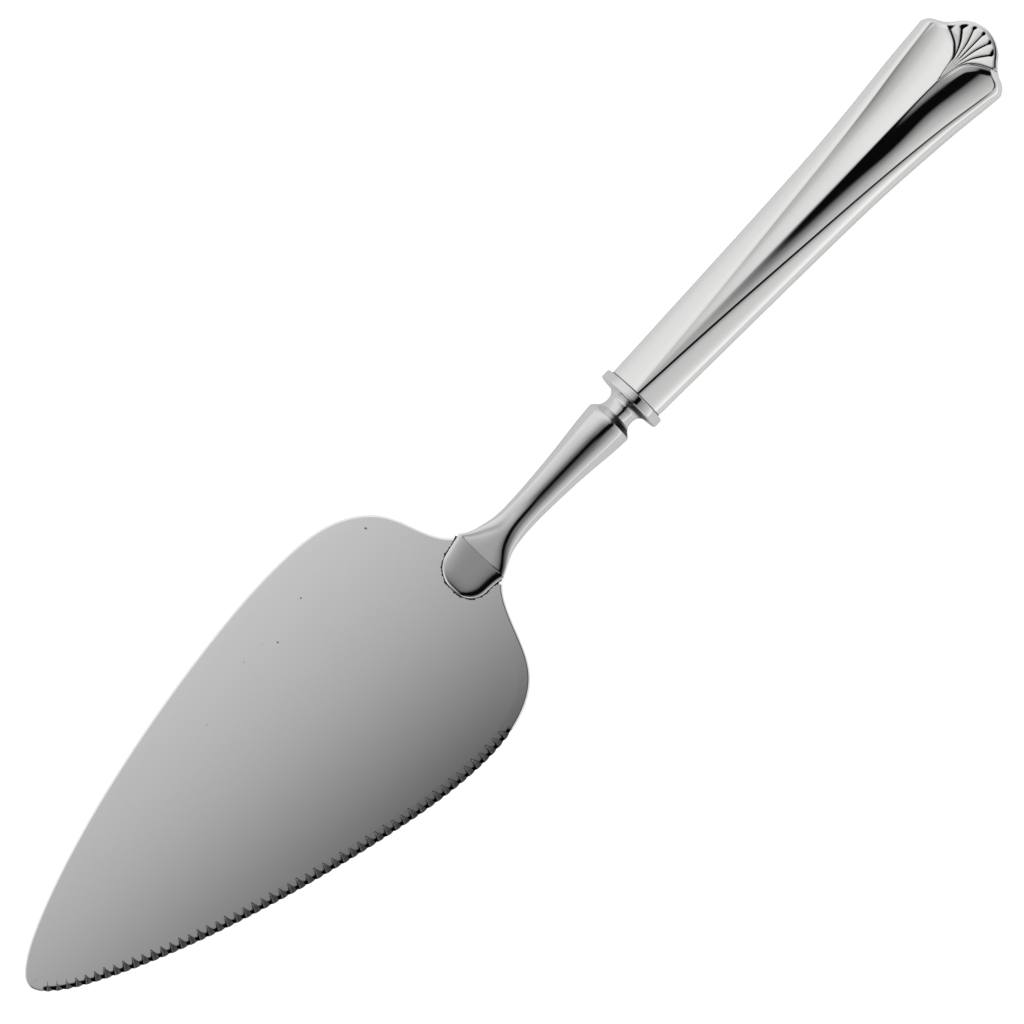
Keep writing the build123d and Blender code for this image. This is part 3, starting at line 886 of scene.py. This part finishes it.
def bladeMesh():
    # rings across the sheet: a band inward from each edge, straight between them, flat below; the
    # height is the crown's, less the edge's round and, on the serrated side, the notches
    count = blade["rows"]
    sR, right, inR = bladeSide(-1, count)
    _, left, inL = bladeSide(1, count)
    band = np.arange(0.24, blade["bandWidth"] - 0.1, blade["bandStep"])
    band = np.r_[0, 0.03, 0.08, 0.15, band, blade["bandWidth"]]
    # 1 along the notches, 0 at the tip and past them; there the edge's round grows to the heel
    toothed = smoothStep(sR, *blade["toothedFrom"]) * smoothStep(sR, *blade["toothedTo"])
    gain = (blade["heelRound"] - blade["plainRound"]) * smoothStep(sR, *blade["roundZone"])
    rR = blade["plainRound"] + gain
    rR = (rR * (1 - toothed) + blade["cutRound"] * toothed)[:, None]
    bandR = right[:, None] + inR[:, None] * band[None, :, None]
    bandL = left[:, None] + inL[:, None] * band[None, :, None]
    cut, shade = notches(sR[:, None] + 0 * band, band[None, :] + 0 * sR[:, None])
    # between notches the pressed edge draws in a little
    drawn = np.clip(1 - band / blade["drawReach"], 0, 1)
    draw = blade["draw"] * toothed[:, None] * (1 - cut[:, :1]) * drawn
    bandR = bandR + inR[:, None] * draw[..., None]
    zR = bladeTop(bandR[..., 0], bandR[..., 1]) - roundDrop(band[None, :], rR)
    zR = np.maximum(zR - blade["depth"] * cut * toothed[:, None], blade["thinnest"])
    zL = bladeTop(bandL[..., 0], bandL[..., 1]) - roundDrop(band[None, :], blade["plainRound"])
    zL = np.maximum(zL, blade["thinnest"])
    inner = np.linspace(0, 1, blade["middleColumns"])[1:-1]
    middle = bandR[:, -1:] + (bandL[:, -1:] - bandR[:, -1:]) * inner[None, :, None]
    zM = bladeTop(middle[..., 0], middle[..., 1])
    foot = np.array([0.0, blade["foot"][0]])
    footZ = np.array([blade["foot"][1], 0.0])
    under = np.linspace(0, 1, blade["underColumns"])[1:-1]
    footR = right[:, None] + inR[:, None] * (foot[None, :] + draw[:, :1])[..., None]
    footL = left[:, None] + inL[:, None] * foot[None, :, None]
    below = footL[:, -1:] + (footR[:, -1:] - footL[:, -1:]) * under[None, :, None]
    footRz = np.minimum(footZ[None, :] + 0 * zR[:, :2], zR[:, :1] * [0.7, 0])
    plan = np.hstack([bandR, middle, bandL[:, ::-1], footL, below, footR[:, ::-1]])
    footLz = footZ[None, :] + 0 * zL[:, :2]
    high = np.hstack([zR, zM, zL[:, ::-1], footLz, 0 * below[..., 0], footRz[:, ::-1]])
    points = np.dstack([plan, high])
    # painted shade from the notches, along the serrated edge
    dark = np.zeros(high.shape)
    dark[:, :len(band)] = shade * toothed[:, None]
    return points.reshape(-1, 3), tubeFaces(*high.shape, [-1]), dark


points, faces, tone = bladeMesh()
makePiece(
    "steelBlade", points, faces, bladeOrigin, bladeAxes, bladeSteel,
    ["blade"], {"tarnishAndShade": tone})
print("blade made")


# Shank: tongue, neck, shoulder, cove, collar and tang

shank = {
    "tongueLength": 8.55,
    "tongueHalfWidth": 5.85,
    # the tip's share of that on the plain side and on the serrated one
    "farShare": 0.69,
    "nearShare": 0.94,
    # the root's corner on the serrated side juts out by this, for about this share of the length
    "jut": 0.5,
    "jutShare": 0.12,
    "tongueRound": 4.0,
    "tongueBase": 1.82,
    "bevel": 0.7,
    "tongueTilt": 0.086,
    # where the flat tongue turns into the round neck
    "flatZone": (-42.5, -36.0),
    # reach from the collar: half width, side, top, underside, and how square the section is
    "stations": (
        (-41.6, 5.95, -0.13, 3.24, 1.82, 3.8),
        (-40.3, 5.2, -0.28, 3.89, 1.84, 3.5),
        (-37.0, 3.89, -0.12, 5.45, 2.0, 2.8),
        (-35.0, 3.46, -0.15, 6.34, 2.35, 2.3),
        (-31.0, 3.21, -0.12, 7.99, 3.25, 2.0),
        (-27.0, 3.3, -0.08, 9.51, 4.2, 2.0),
        (-23.0, 3.5, -0.05, 10.92, 5.15, 2.0),
        (-15.4, 4.1, 0.0, 13.51, 6.35, 2.0),
        (-10.0, 4.66, 0.0, 15.29, 6.55, 2.0),
        (-6.7, 4.9, 0.0, 16.1, 6.37, 2.0),
    ),
    "neckEnd": -7.4,
    # reach along the handle's axis, radius
    "turned": (
        (-6.7, 4.9), (-6.3, 4.9), (-6.12, 4.84), (-5.9, 4.66), (-5.5, 4.24), (-5.1, 3.8), (-4.6, 3.44),
        (-4.0, 3.24), (-3.4, 3.18), (-2.8, 3.22), (-2.3, 3.34), (-1.9, 3.56), (-1.5, 3.95), (-1.2, 4.4),
        (-1.02, 4.9), (-0.95, 5.4), (-0.95, 6.7), (-0.93, 6.84), (-0.86, 6.95), (-0.75, 7.02),
        (-0.62, 7.05), (0.72, 7.05), (0.83, 7.02), (0.91, 6.94), (0.95, 6.82), (0.96, 5.2), (1.14, 5.15),
        (1.14, 2.6), (46.0, 1.7), (46.0, 0.0),
    ),
    # painted shade in the cove's two corners: where each sets in, where it ends; how dark; and where the
    # groove painted black starts
    "collarCorner": ((-2.1, -1.4), (-0.9, -1.0)),
    "shoulderCorner": ((-4.6, -5.2), (-6.2, -6.0)),
    "cornerShade": 0.96,
    "grooveFrom": 0.94,
    "tipRows": 40,
    "tongueRows": 34,
    "neckRows": 130,
    "around": 160,
}
tongueTip = -placing["neckLength"] - shank["tongueLength"]


def tongueSides(x):
    # straight sides that draw in towards the tip, ended by quarter rounds of tongueRound
    run = np.clip((-placing["neckLength"] - x) / shank["tongueLength"], 0, 1)
    r = shank["tongueRound"]
    corner = np.clip(r - (x - tongueTip), 0, r)
    drop = r - np.sqrt(np.maximum(r * r - corner**2, 0))
    far = shank["tongueHalfWidth"] * (1 - (1 - shank["farShare"]) * run) - drop
    near = shank["tongueHalfWidth"] * (1 - (1 - shank["nearShare"]) * run)
    near = near + shank["jut"] * np.exp(-run / shank["jutShare"]) - drop
    return far, -near


def neckRings():
    # ring: half width * |cos|^(2/n) and half height * |sin|^(2/n) with their signs
    angle = np.linspace(0, tau, shank["around"], endpoint=False)
    ease = 1 - np.cos(np.linspace(0, np.pi / 2, shank["tipRows"]))
    roundEnd = tongueTip + shank["tongueRound"]
    x = np.r_[
        tongueTip + shank["tongueRound"] * ease,
        np.linspace(roundEnd, -placing["neckLength"] - 0.01, shank["tongueRows"])[1:],
        np.linspace(-placing["neckLength"] + 0.01, shank["neckEnd"], shank["neckRows"]),
    ]
    known = np.array(shank["stations"])
    wide, side, top, low, square = through(known[:, 0], known[:, 1:], np.maximum(x, known[0, 0])).T
    far, near = tongueSides(x)
    onTongue = x <= -placing["neckLength"]
    wide = np.where(onTongue, (far - near) / 2, wide)
    side = np.where(onTongue, (far + near) / 2, side)
    top = top + shank["tongueTilt"] * np.minimum(x + placing["neckLength"], 0)
    flat = 1 - smoothStep(x, *shank["flatZone"])
    middle = (top + low) / 2
    middle = middle + (top - shank["bevel"] - middle) * flat
    tipRound = np.clip((tongueTip + shank["tongueRound"] - x) / shank["tongueRound"], 0, 1)
    rise = (top - middle) * (1 - tipRound**4)**0.25
    cosine, sine = np.cos(angle), np.sin(angle)
    power = 2 / square[:, None]
    y = side[:, None] + wide[:, None] * np.sign(cosine) * np.abs(cosine)**power
    up = middle[:, None] + rise[:, None] * np.abs(sine)**power
    # the tongue's underside is squarer, because it lies flat on the blade
    lowPower = 2 / (square[:, None] + 4 * flat[:, None])
    down = middle[:, None] - (middle - low)[:, None] * np.abs(sine)**lowPower
    z = np.where(sine > 0, up, down)
    return np.stack([x[:, None] + 0 * angle, y, z], axis=-1), angle


def shankMesh():
    neck, angle = neckRings()
    # straight runs between the profile's points, the long ones cut in 2 and the others in 4
    turned = np.array(shank["turned"])
    run = [turned[0]]
    for p, q in zip(turned[:-1], turned[1:]):
        pieces = 4 if np.hypot(*(q - p)) < 3 else 2
        run += [p + (q - p) * k / pieces for k in range(1, pieces + 1)]
    profile = np.array(run)
    ring = np.stack([
        profile[:, :1] + 0 * angle,
        profile[:, 1:] * np.cos(angle),
        profile[:, 1:] * np.sin(angle),
    ], axis=-1)
    ring = (handleOrigin + ring @ handleAxes) - flatOrigin
    # painted shade: the groove between collar and handle is painted black, and the cove's two corners are
    # painted dark on the serrated side
    reach, lower = profile[:, :1], smoothStep(-np.cos(angle), -0.1, 0.35)
    corner = 0
    for setsIn, ends in (shank["collarCorner"], shank["shoulderCorner"]):
        corner = np.maximum(corner, smoothStep(reach, *setsIn) * smoothStep(reach, *ends))
    ringShade = np.where(reach > shank["grooveFrom"], 1, shank["cornerShade"] * corner * lower)
    tone = np.vstack([0 * neck[..., 0], ringShade])
    rings = np.vstack([neck, ring])
    return rings.reshape(-1, 3), tubeFaces(*rings.shape[:2], [0]), tone


points, faces, tone = shankMesh()
makePiece(
    "steelShank", points, faces, flatOrigin, flatAxes, shankSteel,
    ["shank"], {"tarnishAndShade": tone})
print("shank made")


# Braze: an uneven bead that follows the tongue's foot

seam = {
    "width": 0.2,
    "height": 0.24,
    "sunk": 0.08,
    "wander": 0.07,
    "endX": -42.2,
    # flat fill: its gap to the blade below and the tongue above, its share of the tongue's width,
    # and how many of the outline's points it skips
    "fillGap": (0.002, 0.001),
    "fillShare": 0.985,
    "fillStep": 24,
    "points": 520,
    "around": 10,
}


def bladeSurface(plan):
    # height of the blade's crown under points given from the collar's foot
    away = flatOrigin[:2] + plan - bladeOrigin[:2]
    return bladeTop(away @ bladeAxes[0][:2], away @ bladeAxes[1][:2])


def seamMesh():
    # half round bead along the tongue's outline: its radius and path wander with a few sines
    x = tongueTip + (seam["endX"] - tongueTip) * (1 - np.cos(np.linspace(0, np.pi / 2, 1500)))
    far, near = tongueSides(x)
    line = np.vstack([np.stack([x, far], axis=-1)[::-1], np.stack([x, near], axis=-1)])
    at, path, outward = evenPoints(line, seam["points"])
    wave = np.sin(at * 2.1) + 0.7 * np.sin(at * 4.7 + 1) + 0.5 * np.sin(at * 9.3 + 2)
    swell = 1 + 0.22 * np.sin(at * 3.3 + 0.5) + 0.18 * np.sin(at * 7.9)
    path = path + outward * (seam["width"] * 0.4 + seam["wander"] * wave)[:, None]
    angle = np.linspace(0, tau, seam["around"], endpoint=False)
    wide = (seam["width"] * swell)[:, None]
    plan = path[:, None] + outward[:, None] * (wide * np.cos(angle))[..., None]
    base = bladeSurface(path)
    bulge = (seam["height"] * swell)[:, None] * np.maximum(np.sin(angle), -0.35)
    high = base[:, None] - seam["sunk"] + bulge
    points = np.dstack([plan, high])
    ids = np.arange(high.size).reshape(high.shape)
    faces = gridFaces(ids, loop=True).tolist() + [ids[0].tolist(), ids[-1, ::-1].tolist()]
    # the flat fill between the tongue and the blade
    plate = line[::seam["fillStep"]] * [1, seam["fillShare"]]
    lowGap, topGap = seam["fillGap"]
    low = np.column_stack([plate, bladeSurface(plate) + lowGap])
    top = np.column_stack([plate, np.full(len(plate), shank["tongueBase"] - topGap)])
    count = len(plate)
    under, over = ids.size + np.arange(count), ids.size + count + np.arange(count)
    faces += [under.tolist(), over[::-1].tolist()]
    faces += np.stack([under, np.roll(under, -1), np.roll(over, -1), over], axis=-1).tolist()
    return np.vstack([points.reshape(-1, 3), low, top]), faces


points, faces = seamMesh()
makePiece("brazeBead", points, faces, flatOrigin, flatAxes, braze, ["braze_seam"])
print("braze made")


# Cement: fills the shells, cast round the tang

filler = {
    "start": 1.3,
    "end": 97.0,
    # how far it stays inside the shells' outer face, to the side and in height
    "clear": 1.3,
    "depth": 1.15,
    # the tang's bore: radius at its mouth and at its end
    "bore": (2.63, 1.73),
    "boreEnd": 46.1,
    "rows": 90,
    "around": 64,
}


def fillerMesh():
    # rings of half width * cos(t) and shell height less depth, closed at the sides by (1 - cos^8)^(1/2)
    x = np.linspace(filler["start"], filler["end"], filler["rows"])[:, None]
    angle = np.linspace(0, tau, filler["around"], endpoint=False)[None, :]
    half = np.minimum(section(x)[0], np.interp(x, outline[::-1, 0], outline[::-1, 1])) - filler["clear"]
    y = half * np.cos(angle)
    high = np.clip(shellHeight(x + 0 * y, y)[0] - filler["depth"], 0, None) * np.sqrt(1 - np.cos(angle)**8)
    rings = np.stack([x + 0 * y, y - lean(x), high * np.sign(np.sin(angle))], axis=-1)
    # the tang's bore starts from its closed end
    reach = np.array([[filler["boreEnd"]], [filler["start"]]])
    radius = np.array(filler["bore"])[::-1, None]
    bore = np.stack([reach + 0 * angle, radius * np.cos(angle), radius * np.sin(angle)], axis=-1)
    rings = np.vstack([bore, rings])
    return rings.reshape(-1, 3), tubeFaces(*rings.shape[:2], [0, -1])


points, faces = fillerMesh()
makePiece("castCement", points, faces, handleOrigin, handleAxes, cement, ["handle_filler"])
print("cement made")


# Room: pale floor, one large sky of soft light with a dark strip that polished metal shows

room = {
    # floor: half width in metres, mm below the blade, and the glow that the camera sees
    "floorHalf": 3.0,
    "floorGap": 0.05,
    "floorLift": 0.55,
    "floorColour": "#E6E6E6",
    # degrees from overhead towards the serrated side, and the grey that silver shows there
    "skyReach": 100,
    "sky": (
        (-100, 200), (-60, 228), (-32, 228), (-26, 224), (-22, 219), (-17, 213), (-13, 207), (-11.5, 203),
        (-9.4, 194), (-6, 185), (-1.8, 174), (1.5, 161), (4.9, 140), (7.5, 123), (9.1, 112), (11, 76),
        (12.6, 8), (24.5, 8), (26, 90), (28, 133), (35, 155), (55, 188), (66, 205), (72, 221), (78, 243),
        (83, 233), (90, 186), (100, 180),
    ),
    # over the blade's end the sky is drawn out: angle there, angle above that has the same light
    "drawnOut": (
        (-100, -22), (-80, -16), (-59, -14.4), (-48, -12.4), (-37, -8.8), (-25.5, -0.6), (-14, 7.8),
        (-2.8, 11.4), (2.3, 12.5), (14, 25), (31, 26.6), (42.5, 27.8), (53.5, 42), (64.5, 57), (75.5, 63),
        (87, 89), (100, 100),
    ),
    "drawnFrom": 0.06,
    "drawnTo": -0.55,
    # and further down it is plain again
    "plainFrom": -0.63,
    "plainTo": -0.72,
    # the share of light that silver gives back, and the level that lights what isn't a mirror
    "silver": 0.896,
    "plain": 0.9,
}


def onSky(degrees):
    # place on the sky's curve and ramp: 0..1 for -skyReach..skyReach degrees
    return (degrees + room["skyReach"]) / (2 * room["skyReach"])


def makeWorld():
    world = bpy.data.worlds.new("studio")
    bpy.context.scene.world = world
    world.use_nodes = True
    tree = world.node_tree
    tree.nodes.clear()
    way = addNode(tree, "ShaderNodeTexCoord").outputs["Generated"]
    parts = addNode(tree, "ShaderNodeSeparateXYZ", {}, {0: way}).outputs
    side = addNode(tree, "ShaderNodeMath", {"operation": "MULTIPLY"}, {0: parts[1], 1: -1.0}).outputs[0]
    angle = addNode(tree, "ShaderNodeMath", {"operation": "ARCTAN2"}, {0: side, 1: parts[2]}).outputs[0]
    most = radians(room["skyReach"])
    along = addNode(tree, "ShaderNodeMapRange", {}, {0: angle, 1: -most, 2: most}).outputs[0]
    drawn = addNode(tree, "ShaderNodeFloatCurve", {}, {1: along})
    points = drawn.mapping.curves[0].points
    for degrees, same in room["drawnOut"][1:-1]:
        points.new(onSky(degrees), onSky(same))
    for point, (degrees, same) in zip(points, room["drawnOut"]):
        point.location = onSky(degrees), onSky(same)
        point.handle_type = "VECTOR"
    drawn.mapping.update()
    toEnd = addNode(tree, "ShaderNodeMapRange", {}, {
        0: parts[0], 1: room["drawnFrom"], 2: room["drawnTo"]})
    past = addNode(tree, "ShaderNodeMapRange", {}, {
        0: parts[0], 1: room["plainFrom"], 2: room["plainTo"]})
    share = addNode(tree, "ShaderNodeMath", {"operation": "SUBTRACT", "use_clamp": True}, {
        0: toEnd.outputs[0], 1: past.outputs[0]})
    spot = addNode(tree, "ShaderNodeMapRange", {}, {0: share.outputs[0], 3: along, 4: drawn.outputs[0]})
    ramp = addNode(tree, "ShaderNodeValToRGB", {}, {0: spot.outputs[0]})
    stops = ramp.color_ramp.elements
    for degrees, _ in room["sky"][1:-1]:
        stops.new(onSky(degrees))
    for stop, (degrees, grey) in zip(stops, room["sky"]):
        level = toLinear("#" + 3 * ("%02X" % grey))[0] / room["silver"]
        stop.position = onSky(degrees)
        stop.color = (level, level, level, 1)
    ray = addNode(tree, "ShaderNodeLightPath")
    plain = addNode(tree, "ShaderNodeMix", {"data_type": "RGBA"}, {
        0: ray.outputs["Is Diffuse Ray"], 6: ramp.outputs[0], 7: (room["plain"],) * 3 + (1,)})
    seen = addNode(tree, "ShaderNodeMix", {"data_type": "RGBA"}, {
        0: ray.outputs["Is Camera Ray"], 6: plain.outputs[2], 7: (1, 1, 1, 1)})
    light = addNode(tree, "ShaderNodeBackground", {}, {0: seen.outputs[2], 1: 1.0})
    addNode(tree, "ShaderNodeOutputWorld", {}, {0: light.outputs[0]})


def makeFloor():
    # matt white board; what the camera sees is lifted to white, and the object's shadow stays in it
    half = room["floorHalf"]
    low = -room["floorGap"] * mm
    corners = [(-half, -half, low), (half, -half, low), (half, half, low), (-half, half, low)]
    mesh = bpy.data.meshes.new("floor")
    mesh.from_pydata(corners, [], [(0, 1, 2, 3)])
    floor = bpy.data.objects.new("floor", mesh)
    bpy.context.scene.collection.objects.link(floor)
    material, tree = newMaterial("mattWhiteBoard")
    ray = addNode(tree, "ShaderNodeLightPath")
    board = addNode(tree, "ShaderNodeBsdfDiffuse", {}, {0: toLinear(room["floorColour"])})
    lift = addNode(tree, "ShaderNodeMapRange", {}, {
        0: ray.outputs["Is Camera Ray"], 3: 0.0, 4: room["floorLift"]})
    glow = addNode(tree, "ShaderNodeEmission", {}, {0: (1, 1, 1, 1), 1: lift.outputs[0]})
    both = addNode(tree, "ShaderNodeAddShader", {}, {0: board.outputs[0], 1: glow.outputs[0]})
    addNode(tree, "ShaderNodeOutputMaterial", {}, {0: both.outputs[0]})
    mesh.materials.append(material)


makeWorld()
makeFloor()
print("room made")


# Camera: straight above, long lens; the handle runs to the upper right

camera = {
    # in metres: the view's width, its centre, and the height above the floor of what it frames
    "view": 0.1966,
    "centre": (0.00008, 0.00212),
    "height": 0.005,
    "turn": -46.094,
    "lens": 600.0,
    "sensor": 36.0,
}


def makeCamera():
    data = bpy.data.cameras.new("camera")
    data.sensor_width = camera["sensor"]
    data.lens = camera["lens"]
    distance = camera["view"] * camera["lens"] / camera["sensor"]
    data.clip_end = 10
    cam = bpy.data.objects.new("camera", data)
    bpy.context.scene.collection.objects.link(cam)
    cam.location = (*camera["centre"], distance + camera["height"])
    cam.rotation_euler = (0, 0, radians(camera["turn"]))
    bpy.context.scene.camera = cam


makeCamera()
bpy.context.scene.view_settings.view_transform = "Standard"
print("camera set")
